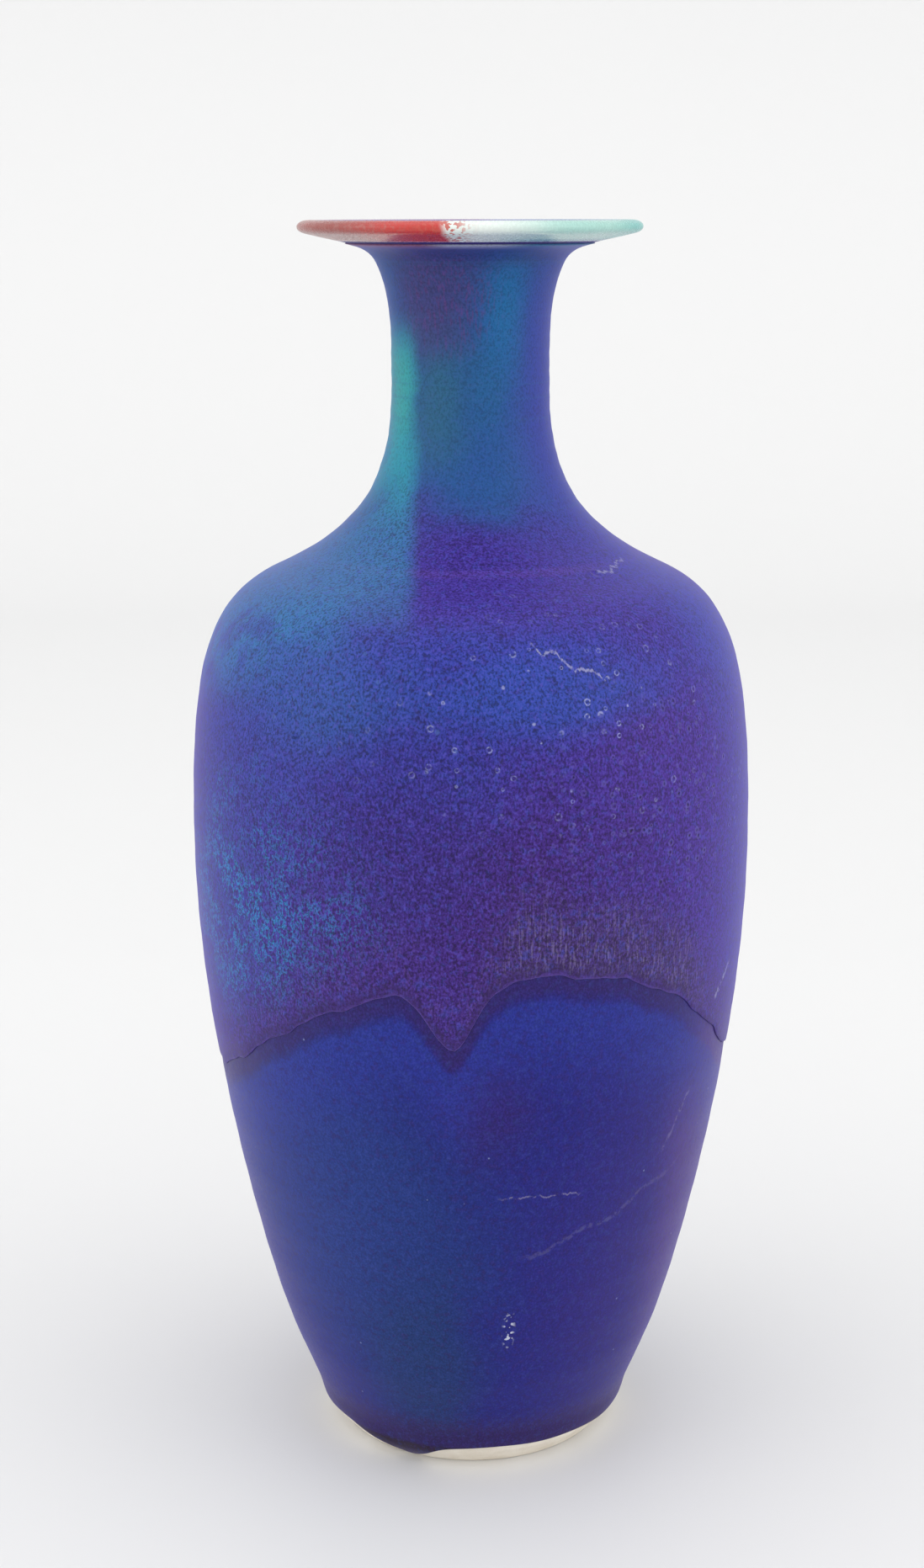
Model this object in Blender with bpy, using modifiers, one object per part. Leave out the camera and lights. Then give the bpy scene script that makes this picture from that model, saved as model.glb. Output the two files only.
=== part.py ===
"""A wheel-thrown stoneware bottle vase: thrown body, luted neck and foot, and four glaze coats.

Metres, +Z up. The origin is on the pot's axis, at the level that the foot stands on, and the
front of the pot faces -Y. Every piece is turned round Z, and neighbours keep a small gap.
"""

import math

import bpy
from mathutils import Vector

MM = 0.001

# Overall sizes
HEIGHT = 320 * MM
BELLY_RADIUS = 71.8 * MM  # under the violet coat, which adds to it
BELLY_HEIGHT = 162 * MM
RIDGE_RADIUS = 42.6 * MM  # where the neck is luted to the shoulder
RIDGE_HEIGHT = 236.6 * MM
NECK_RADIUS = 19.1 * MM
NECK_HEIGHT = 283 * MM
LIP_RADIUS = 43 * MM
LIP_TIP_HEIGHT = 318.4 * MM
FOOT_RADIUS = 35.6 * MM  # outer edge of the ring that touches the table
FOOT_INNER_RADIUS = 30.5 * MM
FOOT_HEIGHT = 12 * MM
FLOOR_TOP = 19.5 * MM

# Coats and joints
COAT = 0.6 * MM
GAP = 0.3 * MM
OVER_GAP = 0.4 * MM  # under the violet coat, whose facets don't line up with those below
UNDER_COAT = COAT + GAP  # from a glazed surface down to the clay
SLIP = 0.6 * MM
GLAZE_STOP = 6 * MM  # the blue coat's lower edge, above bare clay
RIM_GLAZE_INNER = 33 * MM  # the lip band's edge on the flange's underside
LINER_OUTER = 36 * MM  # the liner's edge on top of the flange
TOP_GLAZE_END = 310 * MM  # the violet coat's upper edge, under the flange

# Mesh fineness
SEGMENTS = 32
BEND_PER_ROW = 24  # degrees of turn in the outline for one row of facets
LENGTH_PER_ROW = 25 * MM
MERGE = 0.00001

# Stations of the blue coat's surface, foot to lip: radius, height and heading in degrees.
# A heading is the way the outline runs there: 0 outwards, 90 up, 180 inwards, 270 down.
OUTSIDE = (
    (40.9 * MM, GLAZE_STOP, 73),
    (43.2 * MM, 13 * MM, 69),
    (50.5 * MM, 32 * MM, 71.5),
    (59.2 * MM, 64 * MM, 77),
    (67.8 * MM, 110 * MM, 82),
    (BELLY_RADIUS, BELLY_HEIGHT, 90),
    (69.0 * MM, 205 * MM, 100),
    (61.9 * MM, 223.5 * MM, 125),
    (50.8 * MM, 232.4 * MM, 155),
    (RIDGE_RADIUS, RIDGE_HEIGHT, 151),
    (27.5 * MM, 249 * MM, 129),
    (21.1 * MM, 262.3 * MM, 106),
    (NECK_RADIUS, NECK_HEIGHT, 90),
    (22.9 * MM, 310 * MM, 64),
    (28.0 * MM, 313.8 * MM, 16),
    (39.0 * MM, 316.3 * MM, 14),
    (LIP_RADIUS, LIP_TIP_HEIGHT, 90),
)

# The top of the flange and the throat, from the lip's tip inwards.
LIP_TOP = (
    (LIP_RADIUS, LIP_TIP_HEIGHT, 90),
    (40.3 * MM, HEIGHT, 182),
    (28.0 * MM, 317.3 * MM, 194),
    (16.4 * MM, 307.5 * MM, 252),
)

# Thickness from glazed face to glazed face, by height.
WALL = (
    (30 * MM, 7.4 * MM),
    (162 * MM, 5.6 * MM),
    (236 * MM, 6.8 * MM),
    (262 * MM, 5.2 * MM),
    (300 * MM, 5.3 * MM),
)

# Where the violet coat hangs lower than its highest edge: angle from the front, width, drop.
EDGE_CREST = 147 * MM
EDGE_NOMINAL = 120 * MM
EDGE_SETTLED = 186 * MM  # above this height the rows lie level
HANGS = (
    (-80, 48, 42 * MM),
    (-3.5, 6, 17 * MM),
    (85, 38, 40 * MM),
    (128, 9, 14 * MM),
    (175, 30, 34 * MM),
    (-140, 8, 12 * MM),
)


def heading(degrees):
    return Vector((math.cos(math.radians(degrees)), math.sin(math.radians(degrees))))


def curve_through(stations):
    """Rows (point, normal) along a smooth curve through the stations, the normal on its right."""
    rows = []
    for (r0, z0, way0), (r1, z1, way1) in zip(stations, stations[1:]):
        start, end = Vector((r0, z0)), Vector((r1, z1))
        reach = (end - start).length
        leave, arrive = heading(way0) * reach, heading(way1) * reach
        steps = math.ceil(max(abs(way1 - way0) / BEND_PER_ROW, reach / LENGTH_PER_ROW, 1))
        first = len(rows) > 0
        for step in range(first, steps + 1):
            t = step / steps
            point = (
                start * (2 * t**3 - 3 * t**2 + 1)
                + leave * (t**3 - 2 * t**2 + t)
                + end * (3 * t**2 - 2 * t**3)
                + arrive * (t**3 - t**2)
            )
            along = (
                (start - end) * (6 * t**2 - 6 * t)
                + leave * (3 * t**2 - 4 * t + 1)
                + arrive * (3 * t**2 - 2 * t)
            ).normalized()
            rows.append((point, Vector((along.y, -along.x))))
    return rows


def sunk(rows, depth):
    return [point - normal * depth for point, normal in rows]


def blend_at(table, place):
    """The value at a place in a table of (place, value), straight between its entries."""
    if place <= table[0][0]:
        return table[0][1]
    for (low, first), (high, last) in zip(table, table[1:]):
        if place <= high:
            return first + (last - first) * (place - low) / (high - low)
    return table[-1][1]


def stretch(points, low, high):
    """The part of an outline between two heights, with its ends cut exactly there."""
    rising = sorted(points, key=lambda point: point.y)
    radii = [(point.y, point.x) for point in rising]
    kept = [point for point in rising if low < point.y < high]
    return [Vector((blend_at(radii, low), low)), *kept, Vector((blend_at(radii, high), high))]


def make_material(name, colour, roughness):
    material = bpy.data.materials.new(name)
    material.use_nodes = True
    shader = material.node_tree.nodes["Principled BSDF"]
    shader.inputs["Base Color"].default_value = (*colour, 1)
    shader.inputs["Roughness"].default_value = roughness
    shader.inputs["Metallic"].default_value = 0
    return material


def turn(name, outline, material, closed=False):
    """An outline of (radius, height) points, turned round Z. It runs down the outer side."""
    edges = [(i, i + 1) for i in range(len(outline) - 1)]
    if closed:
        edges.append((len(outline) - 1, 0))
    mesh = bpy.data.meshes.new(name)
    mesh.from_pydata([(point[0], 0, point[1]) for point in outline], edges, [])
    mesh.materials.append(material)
    piece = bpy.data.objects.new(name, mesh)
    pot.objects.link(piece)
    screw = piece.modifiers.new("Turn", "SCREW")
    screw.axis = "Z"
    screw.steps = screw.render_steps = SEGMENTS
    screw.use_merge_vertices = True
    screw.merge_threshold = MERGE
    screw.use_smooth_shade = True
    return piece


def thicken(piece, thickness):
    shell = piece.modifiers.new("Coat", "SOLIDIFY")
    shell.thickness = thickness
    shell.offset = -1
    shell.use_even_offset = True


def settled(piece):
    """The same piece with its modifiers made into its mesh."""
    graph = bpy.context.evaluated_depsgraph_get()
    mesh = bpy.data.meshes.new_from_object(piece.evaluated_get(graph))
    name = piece.name
    bpy.data.objects.remove(piece)
    mesh.name = name
    piece = bpy.data.objects.new(name, mesh)
    pot.objects.link(piece)
    return piece


def glaze_edge(angle):
    """Height of the violet coat's lower edge, at an angle in degrees from the front."""
    height = EDGE_CREST
    for centre, width, drop in HANGS:
        away = (angle - centre + 180) % 360 - 180
        height -= drop * math.exp(-((away / width) ** 2))
    return height


def hang_edge(piece, outline):
    """Slides the rows of the violet coat along the pot, so that its lower edge hangs in lobes."""
    radii = [(point.y, point.x) for point in outline]
    for vertex in piece.data.vertices:
        x, y, z = vertex.co
        if z > EDGE_SETTLED:
            continue
        edge = glaze_edge(math.degrees(math.atan2(x, -y)))
        z += (edge - EDGE_NOMINAL) * (EDGE_SETTLED - z) / (EDGE_SETTLED - EDGE_NOMINAL)
        grow = blend_at(radii, z) / math.hypot(x, y)
        vertex.co = (x * grow, y * grow, z)


def make_clay(outside, inside):
    """The body, the neck and the foot ring, with a layer of slip in each joint."""
    stoneware = make_material("stoneware", (0.56, 0.5, 0.38), 0.85)
    slip = make_material("joining_slip", (0.46, 0.4, 0.3), 0.9)
    outer, inner = sunk(outside, UNDER_COAT), sunk(inside, UNDER_COAT)
    split = FOOT_HEIGHT + 2 * GAP + SLIP
    lift = 0.45 * MM  # rise along the sloping shoulder across half of the joint
    outer_cut, inner_cut = RIDGE_HEIGHT - lift, RIDGE_HEIGHT - 4.6 * MM - lift
    cut_in = stretch(inner, inner_cut, inner_cut + 2 * lift)
    cut_out = stretch(outer, outer_cut, outer_cut + 2 * lift)

    body_in = [p for p in reversed(inner) if p.y < inner_cut]
    body_out = stretch(outer, split, outer_cut)
    turn("body_wall", [*body_in, cut_in[0], *reversed(body_out), Vector((0, split))], stoneware)

    neck_in = [p for p in inner if p.y > cut_in[-1].y]
    neck_out = [p for p in outer if p.y > cut_out[-1].y]
    ring = [*neck_in, cut_in[-1], cut_out[-1], *neck_out]
    turn("neck_section", list(reversed(ring)), stoneware, closed=True)

    corners = ((cut_out[0], cut_out[-1]), (cut_in[0], cut_in[-1]))
    (low_out, high_out), (low_in, high_in) = [
        (low.lerp(high, 0.27), high.lerp(low, 0.27)) for low, high in corners
    ]
    turn("shoulder_slip_joint", [high_out, low_out, low_in, high_in], slip, closed=True)

    side = stretch([Vector((FOOT_RADIUS, 0)), Vector((39.5 * MM, 4.8 * MM)), *outer], 0, FOOT_HEIGHT)
    foot = [*reversed(side), Vector((FOOT_INNER_RADIUS + 1.5 * MM, 0))]
    foot += [Vector((FOOT_INNER_RADIUS + 0.3 * MM, 1.5 * MM)), Vector((FOOT_INNER_RADIUS, FOOT_HEIGHT))]
    turn("foot_ring", foot, stoneware, closed=True)

    low, high = FOOT_HEIGHT + GAP, FOOT_HEIGHT + GAP + SLIP
    wide, narrow = side[-1].x - GAP, FOOT_INNER_RADIUS + GAP
    layer = [Vector((wide, high)), Vector((wide, low)), Vector((narrow, low)), Vector((narrow, high))]
    turn("foot_slip_joint", layer, slip, closed=True)


def make_glazes(outside, inside):
    """The blue coat, the violet coat over it, the lip's band and the liner."""
    surface, lining = sunk(outside, 0), sunk(inside, 0)
    flange = [p for p in surface if p.y > TOP_GLAZE_END]
    slope = [(p.x, p.y) for p in flange]

    blue = make_material("blue_glaze", (0.055, 0.1, 0.34), 0.4)
    side = [p for p in surface if p.y < TOP_GLAZE_END or p.x < RIM_GLAZE_INNER - 2 * MM]
    end = Vector((RIM_GLAZE_INNER - 2 * GAP, blend_at(slope, RIM_GLAZE_INNER - 2 * GAP)))
    thicken(turn("base_glaze", [end, *reversed(side)], blue), COAT)

    violet = make_material("violet_glaze", (0.13, 0.12, 0.36), 0.42)
    raised = sunk(outside, -COAT - OVER_GAP)
    sleeve = stretch(raised, EDGE_NOMINAL, TOP_GLAZE_END)
    top_glaze = settled(turn("top_glaze", list(reversed(sleeve)), violet))
    hang_edge(top_glaze, raised)
    thicken(top_glaze, COAT)

    lip = make_material("lip_glaze", (0.62, 0.55, 0.5), 0.3)
    start = Vector((RIM_GLAZE_INNER, blend_at(slope, RIM_GLAZE_INNER)))
    under = [start] + [p for p in flange if p.x > RIM_GLAZE_INNER + MM]
    dish = [(p.x, p.y) for p in reversed(lining) if p.y > TOP_GLAZE_END]
    over = [p for p in lining if p.x > LINER_OUTER and p.y > LIP_TIP_HEIGHT]
    over.append(Vector((LINER_OUTER + GAP, blend_at(dish, LINER_OUTER))))
    thicken(turn("rim_glaze", list(reversed(under + over)), lip), COAT)

    pale = make_material("liner_glaze", (0.2, 0.2, 0.42), 0.35)
    inner = [p for p in lining if p.x < LINER_OUTER or p.y < RIDGE_HEIGHT]
    start = Vector((LINER_OUTER, blend_at(dish, LINER_OUTER)))
    thicken(turn("liner_glaze", list(reversed([start, *inner])), pale), COAT)


def inner_rows(outside):
    """The inside of the pot: the flange's top, the throat, the wall's inner face and the floor."""
    rows = curve_through(LIP_TOP)
    for point, normal in reversed(outside):
        if FLOOR_TOP + 14 * MM < point.y < NECK_HEIGHT + 18 * MM:
            rows.append((point - normal * blend_at(WALL, point.y), -normal))
    radius, height = rows[-1][0]
    bend = (radius - 2 * MM, height - 6 * MM, 247)
    floor_edge = (radius - 12 * MM, FLOOR_TOP, 186)
    return rows + curve_through((bend, floor_edge, (0, FLOOR_TOP, 180)))


for item in list(bpy.data.objects):
    bpy.data.objects.remove(item)

pot = bpy.data.collections.new("stoneware_vase")
bpy.context.scene.collection.children.link(pot)

outside_rows = curve_through(OUTSIDE)
inside_rows = inner_rows(outside_rows)
make_clay(outside_rows, inside_rows)
make_glazes(outside_rows, inside_rows)
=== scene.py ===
import math

import bpy
import numpy as np
from mathutils import Matrix, Vector


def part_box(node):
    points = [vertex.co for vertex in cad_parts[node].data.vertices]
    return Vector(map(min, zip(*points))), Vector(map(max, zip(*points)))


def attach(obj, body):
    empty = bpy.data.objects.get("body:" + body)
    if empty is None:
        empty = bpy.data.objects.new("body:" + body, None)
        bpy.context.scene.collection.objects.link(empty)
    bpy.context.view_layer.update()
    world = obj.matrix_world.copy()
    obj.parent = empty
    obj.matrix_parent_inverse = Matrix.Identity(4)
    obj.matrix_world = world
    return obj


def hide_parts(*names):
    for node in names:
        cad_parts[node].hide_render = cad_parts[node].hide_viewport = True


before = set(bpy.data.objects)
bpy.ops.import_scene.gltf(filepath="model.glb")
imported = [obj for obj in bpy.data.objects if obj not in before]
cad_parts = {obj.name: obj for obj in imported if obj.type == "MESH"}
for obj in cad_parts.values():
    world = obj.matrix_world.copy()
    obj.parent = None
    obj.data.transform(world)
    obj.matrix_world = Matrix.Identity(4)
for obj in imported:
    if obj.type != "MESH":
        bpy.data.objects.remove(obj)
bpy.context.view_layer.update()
print("frame loaded:", sorted(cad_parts))

# sizes, all from the frame
potTop = max(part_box(node)[1][2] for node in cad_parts)
potFoot = min(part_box(node)[0][2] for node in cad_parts)
mm = (potTop - potFoot) / 320  # one millimetre on a pot drawn 320 mm high
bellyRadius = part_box("base_glaze")[1][0]
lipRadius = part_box("rim_glaze")[1][0]
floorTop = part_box("liner_glaze")[0][2]
weld = 0.002 * mm  # points nearer than this are merged
turnPerRow = 9  # most degrees that a profile turns between two rows


def heading(degrees):
    return np.array([math.cos(math.radians(degrees)), math.sin(math.radians(degrees))])


def pullCurve(stations, spacing):
    # smooth rows of (radius, height, outward normal) through stations of radius, height and heading
    rows = []
    for (r0, z0, way0), (r1, z1, way1) in zip(stations, stations[1:]):
        start, end = np.array([r0, z0]), np.array([r1, z1])
        reach = np.linalg.norm(end - start)
        leave, arrive = heading(way0) * reach, heading(way1) * reach
        count = max(2, math.ceil(reach / spacing), math.ceil(abs(way1 - way0) / turnPerRow))
        for step in range(1 if rows else 0, count + 1):
            t = step / count
            point = start * (2 * t**3 - 3 * t**2 + 1) + leave * (t**3 - 2 * t**2 + t)
            point = point + end * (3 * t**2 - 2 * t**3) + arrive * (t**3 - t**2)
            along = (start - end) * (6 * t**2 - 6 * t) + leave * (3 * t**2 - 4 * t + 1)
            along = along + arrive * (3 * t**2 - 2 * t)
            along = along / np.linalg.norm(along)
            rows.append((point[0], point[1], along[1], -along[0]))
    return rows


def sink(rows, depth):
    return [(r - nr * depth, z - nz * depth) for r, z, nr, nz in rows]


potForm = {
    "wall": (
        (36.4 * mm, 0.7 * mm, 52),
        (40.5 * mm, 4.8 * mm, 60),
        (41.3 * mm, 7 * mm, 72),
        (43.2 * mm, 13 * mm, 69),
        (50.5 * mm, 32 * mm, 71.5),
        (59.2 * mm, 64 * mm, 77),
        (67.8 * mm, 110 * mm, 82),
        (bellyRadius, 162 * mm, 90),
        (69.0 * mm, 205 * mm, 100),
        (61.9 * mm, 223.5 * mm, 125),
        (50.8 * mm, 232.4 * mm, 155),
        (42.6 * mm, 236.6 * mm, 151),
        (27.5 * mm, 249 * mm, 129),
        (21.1 * mm, 262.3 * mm, 106),
        (19.1 * mm, 283 * mm, 90),
        (22.9 * mm, 310 * mm, 64),
        (28.0 * mm, 313.8 * mm, 16),
        (32.6 * mm, 314.9 * mm, 13),
    ),
    "lip": (
        (32.9 * mm, 314.95 * mm, 13),
        (39.0 * mm, 316.3 * mm, 14),
        (lipRadius, 318.4 * mm, 90),
        (40.3 * mm, potTop, 182),
        (36.2 * mm, 319.15 * mm, 193),
    ),
    "throat": (
        (36.0 * mm, 319.1 * mm, 193),
        (28.0 * mm, 317.3 * mm, 194),
        (16.4 * mm, 307.5 * mm, 252),
        (14.0 * mm, 292 * mm, 270),
        (14.3 * mm, 276 * mm, 273),
        (22.5 * mm, 246 * mm, 310),
        (38.6 * mm, 231 * mm, 333),
        (56.2 * mm, 219.5 * mm, 305),
        (63.6 * mm, 203 * mm, 279),
        (66.2 * mm, 162 * mm, 270),
        (61.6 * mm, 111 * mm, 262),
        (43.8 * mm, 36 * mm, 250),
        (34.0 * mm, floorTop + 0.3 * mm, 188),
        (0.0, floorTop, 180),
    ),
    "coat": 0.6 * mm,
    "liner": 0.54 * mm,
    "columns": 320,
    "wallStep": 1.6 * mm,  # spacing of the rows of faces
    "throatStep": 2 * mm,
    "lipStep": 0.6 * mm,
    "smooth": 310 * mm,  # above this the flare is too flat to have one radius at each height
}

# the lower edge of the violet coat, and where it hangs lower than its crest
violetEdge = {
    "crest": 147 * mm,
    "nominal": 126 * mm,  # where it is first thrown
    "settled": 190 * mm,  # above this nothing moves
    # waves round the pot, phase, height
    "ripples": ((23, 1.9, 0.5 * mm), (47, 0.4, 0.2 * mm), (79, 2.6, 0.13 * mm)),
    "hangs": (  # angle from the front, width, drop
        (-80, 48, 42 * mm),
        (-3.5, 6, 17 * mm),
        (85, 38, 40 * mm),
        (128, 9, 14 * mm),
        (175, 30, 34 * mm),
        (-140, 8, 12 * mm),
    ),
}


def bell(away, width):
    return np.exp(-((away / width) ** 2))


def fade(value, middle, width):
    return 1 / (1 + np.exp(-(value - middle) / width))


def hang(height, angle, hangs):
    # lowers an edge round each centre
    for centre, width, drop in hangs:
        away = (angle - centre + 180) % 360 - 180
        height = height - drop * bell(away, width)
    return height


def violetEdgeHeight(angle):
    height = hang(np.full_like(angle, violetEdge["crest"]), angle, violetEdge["hangs"])
    for waves, phase, size in violetEdge["ripples"]:
        height = height + size * np.sin(waves * np.radians(angle) + phase)
    return height


# modelling, as at the wheel: a profile is extruded point by point, then spun
def standClear():
    if bpy.context.mode != "OBJECT":
        bpy.ops.object.mode_set(mode="OBJECT")
    bpy.ops.object.select_all(action="DESELECT")


def spinPiece(name, profile, closed):
    standClear()
    radius, height = profile[0]
    bpy.ops.mesh.primitive_plane_add(size=mm, location=(0, 0, 0))
    piece = bpy.context.object
    piece.name = piece.data.name = name
    bpy.ops.object.mode_set(mode="EDIT")
    bpy.ops.mesh.select_mode(type="VERT")
    bpy.ops.mesh.merge(type="CENTER")
    bpy.ops.transform.translate(value=(radius, 0, height))
    for (r0, z0), (r1, z1) in zip(profile, profile[1:]):
        bpy.ops.mesh.extrude_region_move(TRANSFORM_OT_translate={"value": (r1 - r0, 0, z1 - z0)})
    if closed:
        bpy.ops.mesh.select_all(action="SELECT")
        bpy.ops.object.mode_set(mode="OBJECT")
        ends = (0, len(profile) - 1)
        for vertex in piece.data.vertices:
            vertex.select = vertex.index in ends
        for edge in piece.data.edges:
            edge.select = False
        bpy.ops.object.mode_set(mode="EDIT")
        bpy.ops.mesh.edge_face_add()
    bpy.ops.mesh.select_all(action="SELECT")
    bpy.ops.mesh.spin(steps=potForm["columns"], angle=2 * math.pi, center=(0, 0, 0), axis=(0, 0, 1))
    bpy.ops.mesh.select_all(action="SELECT")
    bpy.ops.mesh.remove_doubles(threshold=weld)
    bpy.ops.mesh.normals_make_consistent(inside=False)
    bpy.ops.object.mode_set(mode="OBJECT")
    bpy.ops.object.shade_smooth()
    print("thrown:", name, len(piece.data.polygons), "faces")
    return piece


def readPoints(piece):
    points = np.empty(len(piece.data.vertices) * 3)
    piece.data.vertices.foreach_get("co", points)
    return points.reshape(-1, 3)


def writePoints(piece, points):
    piece.data.vertices.foreach_set("co", points.ravel())
    piece.data.update()


def polar(points):
    angle = np.degrees(np.arctan2(points[:, 0], -points[:, 1]))
    return angle, np.hypot(points[:, 0], points[:, 1]), points[:, 2]


def fromPolar(angle, radius, height):
    turn = np.radians(angle)
    return np.stack([radius * np.sin(turn), -radius * np.cos(turn), height], axis=1)


wallRows = pullCurve(potForm["wall"], potForm["wallStep"])
wallRadius = [row[0] for row in wallRows if row[1] < potForm["smooth"]]
wallHeight = [row[1] for row in wallRows if row[1] < potForm["smooth"]]


def outlineAt(height):
    return np.interp(height, wallHeight, wallRadius)


throwMarks = {
    "neck": (232 * mm, 6 * mm),  # height where the neck starts, and how softly
    "ridges": (4.6 * mm, 0.015, 0.03),  # spacing, height, and how much more on the neck
    "waves": (13 * mm, 0.04),
    "sways": ((2, 40, 70 * mm, 0.14), (3, -75, -40 * mm, 0.07)),  # lobes, turn, climb, size
    "calmTop": (312 * mm, 25 * mm),
    "calmFoot": 30 * mm,
}


def throwWobble(angle, height):
    # ridges left by the fingers, and the slight unevenness of a hand-thrown wall
    spacing, size, more = throwMarks["ridges"]
    turn = np.radians(angle)
    size = size + more * fade(height, *throwMarks["neck"])
    wobble = np.sin(2 * math.pi * height / spacing + turn) * size
    spacing, size = throwMarks["waves"]
    wobble = wobble + np.sin(2 * math.pi * height / spacing - turn) * size
    for lobes, offset, climb, size in throwMarks["sways"]:
        wobble = wobble + size * np.sin(np.radians(lobes * angle + offset) + height / climb)
    top, reach = throwMarks["calmTop"]
    calm = np.clip((top - height) / reach, 0, 1) * np.clip(height / throwMarks["calmFoot"], 0, 1)
    return wobble * calm * mm


def storeEdgeReach(piece):
    # height above the violet coat's edge, in millimetres, for the materials
    angle, _, height = polar(readPoints(piece))
    reach = (height - violetEdgeHeight(angle)) / mm
    slot = piece.data.attributes.new("edgeReach", "FLOAT", "POINT")
    slot.data.foreach_set("value", reach)


def finishPiece(piece, slot, *nodes):
    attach(piece, "root")
    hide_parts(*nodes)


# the blue coat
blueCoat = {
    "stop": 6 * mm,  # its lower edge above bare clay
    "stopWaves": ((5, 20, 0.25 * mm), (11, 0, 0.15 * mm)),  # waves, turn, height
    "settled": 14 * mm,
    "runs": ((-24, 9, 5.1 * mm), (-37, 11, 1.9 * mm), (95, 14, 1.2 * mm), (-150, 12, 2.6 * mm)),
    "bead": (0.45 * mm, 1.6 * mm, 2.2 * mm),  # thickness, height above the edge, width
    "longRun": 3 * mm,  # a run this long carries a full bead
    "toe": ((-0.4 * mm, -0.45 * mm), (-0.12 * mm, -0.3 * mm)),
    "hidden": (156 * mm, 305 * mm),  # under the violet coat, where its rows can be sparse
    "uncovered": 0.3 * mm,  # how much higher it lies where no violet covers it
    "uncoverFade": (1.5 * mm, 1.2 * mm),
    "open": 200 * mm,
}


def blueStopHeight(angle):
    height = np.full_like(angle, blueCoat["stop"])
    for waves, offset, size in blueCoat["stopWaves"]:
        height = height + size * np.sin(np.radians(waves * angle + offset))
    return hang(height, angle, blueCoat["runs"])


def throwBlueCoat():
    start, end = blueCoat["hidden"]
    rows = [row for row in wallRows if row[1] > blueCoat["stop"]]
    seen = [row for row in rows if row[1] < start or row[1] > end]
    hidden = [row for row in rows if start <= row[1] <= end][::3]
    face = sink(sorted(seen + hidden, key=lambda row: row[1]), 0)
    toe = [(face[0][0] + out, face[0][1] + up) for out, up in blueCoat["toe"]]
    back = sink(rows[::3], potForm["coat"])
    piece = spinPiece("blueGlazeCoat", [*toe, *face, *reversed(back)], closed=True)
    angle, radius, height = polar(readPoints(piece))
    depth = outlineAt(height) - radius
    low = height < blueCoat["settled"]
    stop = blueStopHeight(angle)
    share = (blueCoat["settled"] - height) / (blueCoat["settled"] - blueCoat["stop"])
    moved = np.where(low, height + (stop - blueCoat["stop"]) * share, height)
    radius = np.where(low, outlineAt(moved) - depth, radius)
    long = np.clip((blueCoat["stop"] - stop) / blueCoat["longRun"], 0, 1)
    thick, rise, width = blueCoat["bead"]
    outer = depth < potForm["coat"] / 2
    radius = radius + np.where(outer, bell(moved - stop - rise, width) * (0.3 + long) * thick, 0)
    # the blue coat lies a little higher where no violet covers it
    gap, soft = blueCoat["uncoverFade"]
    under = fade(violetEdgeHeight(angle) - gap - moved, 0, soft)
    under = under * np.clip(moved / throwMarks["calmFoot"], 0, 1) * blueCoat["uncovered"]
    radius = radius + np.where(outer & (moved < blueCoat["open"]), under, 0)
    radius = radius + throwWobble(angle, moved)
    writePoints(piece, fromPolar(angle, radius, moved))
    storeEdgeReach(piece)
    return piece


# the violet coat
violetCoat = {
    "lift": 0.65 * mm,  # its face above the blue coat's
    "edgeShare": 0.42,  # of that lift, left where it has melted thin at its edges
    "melt": 5 * mm,
    "roll": (0.16 * mm, 1.4 * mm, 1.2 * mm),  # bead along its edge: thickness, height, width
    "top": 314.88 * mm,
    "toe": ((-0.45 * mm, -0.5 * mm), (-0.15 * mm, -0.35 * mm)),
    "brow": (-0.2 * mm, 0.25 * mm),
    "faceDepth": -0.3 * mm,  # points further out than this are on its face
    "overlap": 0.05 * mm,  # its back stands this far off the blue coat
    "pits": (  # angle, height, radius, depth
        (3, 247, 1.3, 0.5),
        (43, 236, 1.5, 0.6),
        (-41, 211, 1.2, 0.4),
        (-38, 206, 1.1, 0.35),
        (-36, 201, 1.3, 0.5),
        (21, 198, 1.0, 0.3),
        (36, 184, 1.0, 0.3),
        (15, 208, 0.9, 0.3),
        (-110, 205, 1.4, 0.5),
        (150, 190, 1.3, 0.5),
        (-165, 232, 1.2, 0.45),
    ),
    "pitWell": 0.55,  # shape of a pit, in shares of its radius
    "pitRim": (1.05, 0.3, 0.35),
    "pitReach": 2.2,
    "pitFaces": 2.4,
    "pitCuts": 4,
}


def pitPlace(angle, height):
    angle, height = np.array([angle]), np.array([height])
    return fromPolar(angle, outlineAt(height) + violetCoat["lift"], height)


def pressPit(points, angle, height, size, depth):
    # a popped bubble: a hollow with a low raised rim
    away = np.linalg.norm(points - pitPlace(angle, height), axis=1) / size
    place, width, share = violetCoat["pitRim"]
    push = bell(away - place, width) * depth * share - bell(away, violetCoat["pitWell"]) * depth
    push = np.where(away < violetCoat["pitReach"], push, 0)
    turn = math.radians(angle)
    points[:, 0] += push * math.sin(turn)
    points[:, 1] -= push * math.cos(turn)


def refinePits(piece):
    # finer faces where a bubble has popped
    bpy.ops.object.mode_set(mode="EDIT")
    bpy.ops.mesh.select_mode(type="FACE")
    bpy.ops.mesh.select_all(action="DESELECT")
    bpy.ops.object.mode_set(mode="OBJECT")
    centres = np.empty(len(piece.data.polygons) * 3)
    piece.data.polygons.foreach_get("center", centres)
    centres = centres.reshape(-1, 3)
    chosen = np.zeros(len(centres), bool)
    for angle, rise, size, _ in violetCoat["pits"]:
        away = np.linalg.norm(centres - pitPlace(angle, rise * mm), axis=1)
        chosen |= away < size * violetCoat["pitFaces"] * mm
    piece.data.polygons.foreach_set("select", chosen)
    bpy.ops.object.mode_set(mode="EDIT")
    bpy.ops.mesh.subdivide(number_cuts=violetCoat["pitCuts"])
    bpy.ops.object.mode_set(mode="OBJECT")


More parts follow.
